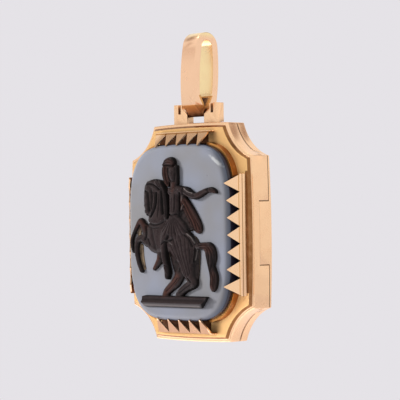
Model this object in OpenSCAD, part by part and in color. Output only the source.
// Octagonal locket pendant with a claw-set carved stone and a ribbon bail.
// The plan below is drawn lying down: X across, Y up the pendant, Z towards the viewer,
// with the case's border face at Z = 0. hang() stands it upright, hanging from the bail.

/* [Case] */
// Width of the case, measured at the ends of its long sides
case_w = 28.8; // [26:0.1:34]
// Height of the case, measured at the ends of its top edge
case_h = 36; // [33:0.1:44]
// Depth of the case from its border to the back of the cover
case_d = 4; // [3.8:0.1:5]
// Depth of the front half, from its border to the seam
front_d = 2.2; // [2:0.05:2.4]
// Size of each cut corner along both edges
corner_cut = 5.6; // [4.8:0.1:6.2]
// Depth of the hollow in each cut corner
corner_sag = 1; // [0.5:0.05:1.4]
// Outward bow of the long sides at their middle
side_bow = 0.35; // [0.15:0.05:0.6]
// Outward bow of the top and bottom edges at their middle
end_bow = 0.2; // [0.1:0.05:0.4]
// Thickness of the side wall
wall_t = 0.8; // [0.6:0.05:1]
// Thickness of the floor between the stone and the hollow
floor_t = 0.5; // [0.4:0.05:0.7]
// Thickness of the cover's back plate
cover_t = 0.6; // [0.45:0.05:0.8]
// Gap between the two halves at the seam
seam_gap = 0.08; // [0.05:0.01:0.15]
// Bevel along the outer edges of the case
edge_bevel = 0.12; // [0.05:0.01:0.2]

/* [Front moulding] */
// Width of the flat border around the face
border_w = 0.5; // [0.3:0.05:0.8]
// Run of the sloping riser inside the border
riser_run = 0.35; // [0.2:0.05:0.5]
// Height of the raised plate above the border
riser_h = 0.6; // [0.4:0.05:0.8]

/* [Cover hinge] */
// Distance of the hinge axis inside the case's edge
hinge_inset = 0.55; // [0.5:0.05:0.7]
// Radius of the hinge knuckles
knuckle_r = 1.35; // [1.25:0.05:1.45]
// Length of the cover's knuckle in the middle
mid_len = 10.4; // [8:0.1:14]
// Drop of the middle knuckle below the centre of the side
mid_drop = 0.2; // [0:0.1:1]
// Gap between the ends of the knuckles
knuckle_gap = 0.1; // [0.06:0.01:0.15]
// Clearance around a knuckle in the other half
socket_clear = 0.06; // [0.04:0.01:0.08]
// Radius of the long hinge pin
cover_pin_r = 0.3; // [0.25:0.01:0.35]
// How deep the pin's ends lie in the corner faces
pin_recess = 0.3; // [0.1:0.05:0.5]

/* [Stone] */
// Width of the stone
stone_w = 23.8; // [22:0.1:24.2]
// Height of the stone
stone_h = 29.3; // [27:0.1:29.6]
// Squareness of the stone's outline
stone_power = 3.8; // [3:0.1:5]
// Height of the stone's flat face above the border
stone_top = 3.45; // [3:0.05:3.9]
// Thickness of the pale upper layer
band_t = 0.75; // [0.5:0.05:0.95]
// Radius of the stone's rounded shoulder
shoulder_r = 1; // [0.98:0.01:1.3]
// Depth of the seat that the stone is let into
seat_d = 0.4; // [0.2:0.05:0.5]
// Clearance around the stone in its seat and collar
stone_clear = 0.04; // [0.02:0.01:0.08]

/* [Claws and collar] */
// Thickness of the claw strips
claw_t = 0.25; // [0.2:0.01:0.35]
// Distance from the stone's edge to the outer face of the side strips
side_out = 1.4; // [1.2:0.05:1.6]
// Distance from the stone's edge to the outer face of the end strips
end_out = 2.1; // [1.8:0.05:2.2]
// Height of the strips above the plate, below the teeth
flange_h = 1.2; // [1:0.05:1.4]
// Drop of the tips below the stone's flat face
tip_drop = 0.1; // [0.05:0.01:0.15]
// How far the tips reach over the stone's edge
tip_reach = 0.15; // [0.05:0.01:0.2]
// Teeth on each long side
side_teeth = 7; // [5:1:9]
// Distance between the teeth on the long sides
side_pitch = 2.79; // [2.4:0.01:2.9]
// Drop of the side strips below the centre
side_drop = 0.45; // [0:0.05:0.6]
// Teeth on the top and bottom strips
end_teeth = 5; // [3:1:6]
// Distance between the teeth on the top and bottom strips
end_pitch = 2.52; // [2.2:0.01:2.6]
// Flat length left at each end of a strip
strip_end = 0.15; // [0.05:0.05:0.3]
// Height of the band that joins the teeth at their roots
valley = 0.1; // [0.05:0.01:0.2]
// Thickness of the corner collar
collar_t = 0.38; // [0.25:0.01:0.45]
// Height of the collar above the plate
collar_h = 1.35; // [1:0.05:1.5]
// Overlap of the collar behind the end teeth
collar_lap = 0.6; // [0.3:0.1:1]

/* [Ears] */
// Distance from the centre to the inner face of an ear
ear_in = 2; // [1.9:0.05:2.3]
// Distance from the centre to the outer face of an ear
ear_out = 5.2; // [5:0.05:5.8]
// Height of the ears above their seat on the case
ear_h = 3.2; // [2.9:0.05:3.5]
// Thickness of the ears from front to back
ear_t = 1.55; // [1.4:0.05:1.8]
// Distance of the ears' middle behind the border
ear_back = 2.1; // [2:0.05:2.3]
// Distance from the centre to the slit in an ear
slit_in = 3.56; // [3.45:0.01:3.7]
// Width of the slit
slit_w = 0.6; // [0.4:0.05:0.7]
// Depth of the slit
slit_d = 1.6; // [1.2:0.05:1.8]
// Gap between an ear and the cover's top edge
ear_gap = 0.1; // [0.08:0.01:0.2]

/* [Bail] */
// Width of the ribbon
bail_w = 3.3; // [2.8:0.05:3.5]
// Thickness of the ribbon
bail_t = 1.3; // [1:0.05:1.4]
// Depth of the loop from front to back at its widest
bail_d = 5.7; // [5.2:0.05:6.2]
// Height of the widest place above the pin
bail_wide_h = 6.2; // [5.6:0.1:6.8]
// Radius of the long curve of each side
bail_side_r = 35; // [30:1:42]
// Lean of the sides where the round top begins, in degrees
bail_lean = 8.25; // [7:0.25:9.5]
// Angle by which the bail leans back as the pendant hangs, in degrees
bail_tip = 3; // [0:0.5:5]
// Height of the foot's outer corners above the pin
foot_h = 0.9; // [0.7:0.05:1.1]
// Height of the crease inside the loop above the pin
crease_h = 2.7; // [2.4:0.05:3]
// Width of the small step at the crease
step_w = 0.18; // [0.1:0.02:0.3]
// Metal left between the crease and the pin's bore
foot_wall = 0.2; // [0.15:0.05:0.4]
// Height over which the ribbon widens above its foot
flare_h = 0.3; // [0.2:0.05:0.6]
// Width of the ribbon at its foot
foot_w = 2.7; // [2.4:0.05:3]
// Radius of the barrel at the foot
barrel_r = 0.77; // [0.7:0.01:0.85]
// Gap between the barrel and each ear
barrel_gap = 0.12; // [0.08:0.01:0.2]
// Radius of the bail's pin
bail_pin_r = 0.35; // [0.28:0.01:0.4]
// Height of the bail's pin above the ears' seat
bail_pin_h = 1.8; // [1.7:0.05:1.95]
// Clearance of a pin in the part that turns on it
run_clear = 0.05; // [0.03:0.01:0.08]
// Clearance of a pin in the part that holds it
hold_clear = 0.02; // [0.01:0.01:0.03]

/* [Carving] */
// Size of the carved group, from the ledge to the top of the headgear
figure_h = 25; // [22:0.1:26]
// Greatest height of the carving above the stone's face
relief_h = 1.35; // [1:0.05:1.6]
// Depth of the ledge under the group
ledge_d = 1.25; // [1:0.05:1.5]

/* [Hidden] */

// Outline of the case
half_w = case_w / 2;
half_h = case_h / 2;
side_mid = half_w + side_bow;
end_mid = half_h + end_bow;
side_r = arc_r(half_h - corner_cut, side_bow);
end_r = arc_r(half_w - corner_cut, end_bow);
corner_r = arc_r(corner_cut / sqrt(2), corner_sag);
corner_off = (corner_r - corner_sag) / sqrt(2) - corner_cut / 2;
round_fn = 96;
long_fn = 720;

// Levels, towards the viewer
cover_face = -(front_d + seam_gap);
seat_z = riser_h - seat_d;
hollow_top = seat_z - floor_t;
hollow_back = cover_t - case_d;

// Cover hinge
hinge_x = half_w - hinge_inset;
hinge_z = -(front_d + seam_gap / 2);
rail_x = hinge_x - knuckle_r - 0.2;
mid_lo = -mid_drop - mid_len / 2;
mid_hi = -mid_drop + mid_len / 2;
corner_at_hinge = half_h + corner_off
    - sqrt(pow(corner_r, 2) - pow(half_w + corner_off - hinge_x, 2));
cover_pin_half = corner_at_hinge - pin_recess;

// Claws and collar
strip_top = riser_h + flange_h;
side_strip = side_teeth * side_pitch + 2 * strip_end;
end_strip = end_teeth * end_pitch + 2 * strip_end;

// Ears and bail
ear_seat = end_mid + ear_gap;
pin_y = ear_seat + bail_pin_h;
slit_x = slit_in + slit_w;
barrel_half = ear_in - barrel_gap;
top_in = bail_side_r * (1 - cos(bail_lean));
top_r = (bail_d / 2 - top_in) / cos(bail_lean);
top_c = bail_wide_h + bail_side_r * sin(bail_lean) - top_r * sin(bail_lean);
chain_h = top_c + top_r - bail_t;
loop_steps = 12;

function arc_r(half, sag) = (pow(half, 2) + pow(sag, 2)) / (2 * sag);

// Rounded rectangle of the stone, inset by d
function sgn_pow(v, p) = sign(v) * pow(abs(v), p);
function cushion(d, n = 72) = [for (i = [0:n - 1]) let (a = 360 * i / n)
    [(stone_w / 2 - d) * sgn_pow(cos(a), 2 / stone_power),
     (stone_h / 2 - d) * sgn_pow(sin(a), 2 / stone_power)]];
// Half width of the stone at height y, and half height at x
function stone_x(y) = stone_w / 2 * pow(1 - pow(abs(2 * y / stone_h), stone_power), 1 / stone_power);
function stone_y(x) = stone_h / 2 * pow(1 - pow(abs(2 * x / stone_w), stone_power), 1 / stone_power);

module hang() {
    rotate([90, 0, 0])
        translate([0, -pin_y - chain_h * cos(bail_tip), ear_back + chain_h * sin(bail_tip)])
            children();
}

// Case outline inset by i0 at level z0 and by i1 at level z1
module slab(i0, i1, z0, z1) {
    difference() {
        intersection() {
            edge_disc([side_mid - side_r, 0, z0], side_r, i0, i1, z1 - z0);
            edge_disc([side_r - side_mid, 0, z0], side_r, i0, i1, z1 - z0);
            edge_disc([0, end_mid - end_r, z0], end_r, i0, i1, z1 - z0);
            edge_disc([0, end_r - end_mid, z0], end_r, i0, i1, z1 - z0);
        }
        for (sx = [-1, 1], sy = [-1, 1])
            translate([sx * (half_w + corner_off), sy * (half_h + corner_off), z0])
                cylinder(h = z1 - z0, r1 = corner_r + i0, r2 = corner_r + i1, $fn = round_fn);
    }
}

module edge_disc(at, r, i0, i1, h) {
    translate(at) cylinder(h = h, r1 = r - i0, r2 = r - i1, $fn = long_fn);
}

// Inside of the case, kept clear of the solid rail that carries the hinge
module hollow(z0, z1) {
    intersection() {
        slab(wall_t, wall_t, z0, z1);
        translate([-case_w, -case_h, z0]) cube([case_w + rail_x, 2 * case_h, z1 - z0]);
    }
}

// Round bar along the hinge axis
module hinge_bar(y0, y1, r) {
    translate([hinge_x, y0, hinge_z]) rotate([-90, 0, 0]) cylinder(h = y1 - y0, r = r, $fn = 48);
}

// Both outer parts of the hinge axis, beyond the middle knuckle
module outer_bars(r, gap) {
    hinge_bar(mid_hi + gap, half_h, r);
    hinge_bar(-half_h, mid_lo - gap, r);
}

// Round bar along the bail's pin axis
module bail_bar(half, r) {
    translate([-half, pin_y, -ear_back]) rotate([0, 90, 0]) cylinder(h = 2 * half, r = r, $fn = 48);
}

// Toothed strip standing along Y with its outer face at X = 0. The teeth are one bent comb
// that leans towards -X at the angle rise : run, and tips lists how far in each tip reaches.
module claw_strip(n, pitch, tips, run) {
    long = n * pitch + 2 * strip_end;
    lean = atan((stone_top - tip_drop - strip_top) / run);
    translate([-claw_t, -long / 2, riser_h - seat_d / 2])
        cube([claw_t, long, flange_h + seat_d / 2]);
    translate([-0.02, 0, strip_top - 0.02]) rotate([0, 180 + lean, 0])
        linear_extrude(height = claw_t) polygon(concat([[0, -n * pitch / 2]],
            [for (i = [0:n - 1], k = [0:3]) let (y = (i - (n - 1) / 2) * pitch)
                k == 0 ? [valley, y - pitch / 2] : k == 3 ? [valley, y + pitch / 2] :
                [tips[i] / cos(lean), y + (k == 1 ? -0.05 : 0.05)]],
            [[0, n * pitch / 2]]));
}

module side_claws() {
    x = stone_w / 2 + side_out;
    translate([x, -side_drop, 0]) claw_strip(side_teeth, side_pitch,
        [for (i = [0:side_teeth - 1]) let (y = (i - (side_teeth - 1) / 2) * side_pitch - side_drop)
            x - stone_x(y) + tip_reach], side_out + tip_reach);
}

module end_claws() {
    y = stone_h / 2 + end_out;
    translate([0, y, 0]) rotate([0, 0, 90]) claw_strip(end_teeth, end_pitch,
        [for (i = [0:end_teeth - 1]) let (x = (i - (end_teeth - 1) / 2) * end_pitch)
            y - stone_y(x) + tip_reach], end_out + tip_reach);
}

// Thin wall that hugs the stone at its corners, between the strips
module collar() {
    difference() {
        translate([0, 0, riser_h - seat_d / 2])
            linear_extrude(height = collar_h + seat_d / 2) polygon(cushion(-stone_clear - collar_t));
        linear_extrude(height = 2 * stone_top) polygon(cushion(-stone_clear));
        translate([-stone_w, -side_strip / 2 - side_drop + collar_lap, 0])
            cube([2 * stone_w, side_strip - 2 * collar_lap, 2 * stone_top]);
        translate([collar_lap - end_strip / 2, -stone_h, 0])
            cube([end_strip - 2 * collar_lap, 2 * stone_h, 2 * stone_top]);
    }
}

// Right-hand ear: a slit block whose inner top corner is cut away
module ear() {
    translate([0, 0, -ear_back - ear_t / 2]) linear_extrude(height = ear_t) polygon([
        [ear_in, ear_seat], [ear_in, pin_y - bail_pin_r], [slit_in - 0.3, pin_y + 0.65],
        [slit_in - 0.3, ear_seat + ear_h], [slit_in, ear_seat + ear_h],
        [slit_in, ear_seat + ear_h - slit_d], [slit_x, ear_seat + ear_h - slit_d],
        [slit_x, ear_seat + ear_h], [ear_out, ear_seat + ear_h], [ear_out, ear_seat]]);
    translate([ear_in, half_h - wall_t, -front_d])
        cube([ear_out - ear_in, ear_seat + ear_gap - half_h + wall_t,
            front_d - ear_back + ear_t / 2]);
}

module front_case() {
    color([0.86, 0.62, 0.47]) hang() difference() {
        union() {
            slab(0, 0, -front_d, -edge_bevel);
            slab(0, edge_bevel, -edge_bevel, 0);
            slab(border_w, border_w + riser_run, 0, riser_h);
            intersection() {
                slab(0, 0, -case_d, -wall_t);
                outer_bars(knuckle_r, knuckle_gap / 2);
            }
            side_claws();
            mirror([1, 0, 0]) side_claws();
            end_claws();
            mirror([0, 1, 0]) end_claws();
            collar();
            ear();
            mirror([1, 0, 0]) ear();
        }
        hollow(-case_d, hollow_top);
        translate([0, 0, seat_z]) linear_extrude(height = 2 * seat_d) polygon(cushion(-stone_clear));
        hinge_bar(mid_lo - knuckle_gap / 2, mid_hi + knuckle_gap / 2, knuckle_r + socket_clear);
        hinge_bar(-half_h, half_h, cover_pin_r + hold_clear);
        bail_bar(slit_x, bail_pin_r + hold_clear);
    }
}

module cover() {
    color([0.84, 0.6, 0.46]) hang() difference() {
        union() {
            difference() {
                union() {
                    slab(edge_bevel, 0, -case_d, edge_bevel - case_d);
                    slab(0, 0, edge_bevel - case_d, cover_face);
                }
                outer_bars(knuckle_r + socket_clear, -knuckle_gap / 2);
                hollow(hollow_back, 0);
            }
            intersection() {
                slab(0, 0, -case_d, 0);
                hinge_bar(mid_lo + knuckle_gap / 2, mid_hi - knuckle_gap / 2, knuckle_r);
            }
        }
        hinge_bar(-half_h, half_h, cover_pin_r + run_clear);
    }
}

module cover_pin() {
    color([0.72, 0.5, 0.36]) hang() hinge_bar(-cover_pin_half, cover_pin_half, cover_pin_r);
}

module bail_pin() {
    color([0.72, 0.5, 0.36]) hang() bail_bar(slit_in, bail_pin_r);
}

// Side view of the loop, set in by t and cut off at height low: depth across, height above
// the pin upwards, from the right foot over the round top to the left foot
function loop_points(t, low) =
    let (r = bail_side_r - t, first = asin((low - bail_wide_h) / r),
        right = [for (k = [0:loop_steps]) let (a = first + (bail_lean - first) * k / loop_steps)
            [r * cos(a) - bail_side_r + bail_d / 2, bail_wide_h + r * sin(a)]])
    concat(right,
        [for (k = [1:2 * loop_steps - 1])
            let (a = bail_lean + (180 - 2 * bail_lean) * k / (2 * loop_steps))
            [(top_r - t) * cos(a), top_c + (top_r - t) * sin(a)]],
        [for (k = [loop_steps:-1:0]) [-right[k][0], right[k][1]]]);

module bail() {
    crease = loop_points(bail_t, crease_h)[0][0];
    color([0.9, 0.68, 0.5]) hang() translate([0, pin_y, -ear_back]) rotate([-bail_tip, 0, 0])
        difference() {
            union() {
                intersection() {
                    rotate([0, 90, 0]) translate([0, 0, -bail_w / 2])
                        linear_extrude(height = bail_w) difference() {
                            polygon(concat(loop_points(0, foot_h),
                                [[-0.8 * barrel_r, -0.6 * barrel_r], [0.8 * barrel_r, -0.6 * barrel_r]]));
                            polygon(concat(loop_points(bail_t, crease_h),
                                [[step_w - crease, crease_h], [0, bail_pin_r + run_clear + foot_wall],
                                    [crease - step_w, crease_h]]));
                        }
                    translate([0, 0, -bail_d]) linear_extrude(height = 2 * bail_d) polygon([
                        [-foot_w / 2, -barrel_r], [foot_w / 2, -barrel_r],
                        [bail_w / 2, foot_h + flare_h], [bail_w / 2, chain_h + 2 * bail_t],
                        [-bail_w / 2, chain_h + 2 * bail_t], [-bail_w / 2, foot_h + flare_h]]);
                }
                rotate([0, 90, 0]) translate([0, 0, -barrel_half])
                    cylinder(h = 2 * barrel_half, r = barrel_r, $fn = 48);
            }
            rotate([0, 90, 0]) translate([0, 0, -bail_w])
                cylinder(h = 2 * bail_w, r = bail_pin_r + run_clear, $fn = 48);
        }
}

module stone_base() {
    color([0.12, 0.11, 0.15]) hang() translate([0, 0, seat_z])
        linear_extrude(height = stone_top - band_t - seat_z) polygon(cushion(0));
}

// Pale layer: rings of the outline that follow the rounded shoulder
module stone_ground() {
    n = 72;
    steps = 6;
    low = asin(1 - band_t / shoulder_r);
    rings = [for (k = [0:steps]) let (a = low + (90 - low) * k / steps)
        [for (p = cushion(shoulder_r * (1 - cos(a)), n))
            [p[0], p[1], stone_top - shoulder_r * (1 - sin(a))]]];
    color([0.55, 0.6, 0.68]) hang() polyhedron(
        points = [for (r = rings, p = r) p],
        faces = concat([[for (i = [0:n - 1]) i]], [[for (i = [n - 1:-1:0]) steps * n + i]],
            [for (k = [0:steps - 1], i = [0:n - 1]) let (j = (i + 1) % n)
                [k * n + i, (k + 1) * n + i, (k + 1) * n + j, k * n + j]]));
}

// Strokes of the carving. Each point is [across, up, radius, height]: the first three in
// hundredths of figure_h from the stone's centre, the last as a share of relief_h.
strokes = [
    // Horse: head, ear, neck, mane, barrel
    [[-22.5, 29, 6, 0.6], [-23, 20, 4.6, 0.6], [-25, 14.5, 3.2, 0.55]],
    [[-19, 34, 1.5, 0.68], [-17, 33, 1.2, 0.66]],
    [[-17, 28, 6.6, 0.62], [-14, 20, 8.4, 0.7], [-15, 8, 10.4, 0.76]],
    [[-14, 32.5, 2, 0.68], [-9.5, 27, 2.2, 0.74], [-6.5, 20, 2.2, 0.78], [-6, 11, 2.2, 0.78]],
    [[-18, -2.4, 11.6, 0.78], [-2, -6, 12, 0.8], [13.6, -14.4, 12, 0.82]],
    // Forelegs
    [[-26, -1, 5, 0.62], [-30, 4, 3, 0.58], [-33.5, 8, 2, 0.55], [-38.5, 2, 1.5, 0.5],
        [-42, -4, 1.3, 0.46], [-42, -9, 1.4, 0.46], [-40.6, -12.6, 1.3, 0.46]],
    [[-26, -5, 5, 0.62], [-31, -3.5, 3, 0.6], [-36.5, -5, 2.2, 0.56], [-38, -13, 1.8, 0.52],
        [-35.8, -20, 1.8, 0.5], [-33.2, -25.6, 1.5, 0.48]],
    // Hind legs
    [[13.6, -14.4, 12, 0.82], [13.4, -21, 10, 0.78], [14.6, -26.5, 7, 0.74],
        [16.8, -32, 4.2, 0.66], [12, -35.6, 2.9, 0.58], [6.4, -38.2, 2.3, 0.54],
        [2, -41.2, 2.4, 0.52]],
    [[9, -22, 7, 0.6], [6, -29, 4, 0.54], [3.2, -32.8, 3, 0.5], [-3.6, -36.6, 2, 0.46],
        [-8, -39.4, 2, 0.46], [-10.8, -41.5, 2, 0.42]],
    // Tail
    [[23, -9.4, 2.4, 0.62], [30, -9.2, 2.4, 0.62], [34, -11, 3.6, 0.66], [34.4, -16, 4, 0.68],
        [34, -22, 2.9, 0.64], [36, -28, 2.8, 0.64], [35.2, -33.8, 3.6, 0.62],
        [34.2, -36.6, 1.8, 0.5]],
    // Rider: body, shoulders, neck, face, hair, headgear
    [[2, 26, 6, 0.9], [2, 17, 5, 0.92], [2.4, 9, 7, 0.94]],
    [[-2.5, 28, 4, 0.84], [5, 28, 3.6, 0.84]],
    [[-0.2, 34, 2.4, 0.7], [0.4, 30, 2.8, 0.74]],
    [[0.4, 40, 4, 0.84], [0.6, 36.4, 3.2, 0.82]],
    [[-4.5, 46, 3, 0.7], [-4.2, 43, 7, 0.62], [-3.8, 36, 6.6, 0.55]],
    [[-3.4, 46, 3.6, 0.8], [-2.6, 47.4, 2.4, 0.72]],
    [[-6, 44, 1.6, 0.78], [2.4, 43.6, 1.5, 0.78]],
    [[-9, 42, 2.2, 0.66], [-9.2, 37, 2, 0.6], [-7.6, 32, 1.8, 0.56]],
    [[2.8, 42.4, 1.8, 0.7], [3, 34, 1.6, 0.6]],
    // Outstretched arm and the short near arm
    [[6.5, 27, 3.2, 0.84], [12, 25.4, 2.9, 0.8], [19, 24.2, 2.2, 0.74], [26, 25.8, 1.9, 0.68],
        [32.5, 27.4, 1.6, 0.62], [36.5, 27.2, 1.6, 0.6], [39.2, 26.6, 0.9, 0.5]],
    [[-3, 27, 2.8, 0.86], [-7, 20, 2.2, 0.88], [-9, 17, 1.8, 0.9]],
    // Cloak
    [[9, 21, 2.6, 0.66], [15, 13.5, 3.4, 0.6], [21.5, 6, 3.8, 0.54], [23.4, 2.6, 3, 0.48]],
    [[8, 17, 2.4, 0.6], [14, 9, 2.6, 0.5], [18, 5, 2.6, 0.46]],
    // Near leg, its foot, the far foot, saddle cloth
    [[1, 6, 7.5, 0.95], [-7.5, -3.5, 5.4, 1], [-8.2, -11, 3.8, 0.98], [-5, -21, 2.8, 0.88]],
    [[2, -26, 1.8, 0.7], [-4, -24.6, 2.8, 0.84], [-7.6, -29, 1.9, 0.74]],
    [[-16.5, -15, 2.2, 0.56], [-18, -20, 1.7, 0.5], [-20.6, -23.4, 1.1, 0.44]],
    [[-4, 3, 7, 0.86], [12, 0.5, 6, 0.86]],
];
// Corners of the ledge: [across, up, out], the last as a share of ledge_d
ledge = [[-30.6, -42, 0], [28.8, -42, 0], [-30.6, -45.6, 0.95], [26.8, -45.6, 0.95],
    [-30.6, -47, 1], [26.2, -47, 1], [-30.2, -49.2, 0.35], [24.4, -49.4, 0.35],
    [-29.8, -49.6, 0], [23.6, -49.8, 0]];

module dome(p) {
    u = figure_h / 100;
    h = relief_h * p[3];
    translate([p[0] * u, p[1] * u, 0]) {
        cylinder(h = 0.5 * h, r = p[2] * u, $fn = 10);
        cylinder(h = 0.82 * h, r = 0.8 * p[2] * u, $fn = 10);
        cylinder(h = h, r = 0.45 * p[2] * u, $fn = 10);
    }
}

module relief() {
    u = figure_h / 100;
    color([0.2, 0.12, 0.1]) hang() translate([0, 0, stone_top]) union() {
        for (s = strokes, k = [0:len(s) - 2]) hull() {
            dome(s[k]);
            dome(s[k + 1]);
        }
        hull() for (p = ledge) translate([p[0] * u, p[1] * u, p[2] * ledge_d]) cube(0.02);
    }
}

bail();
bail_pin();
front_case();
cover();
cover_pin();
stone_base();
stone_ground();
relief();
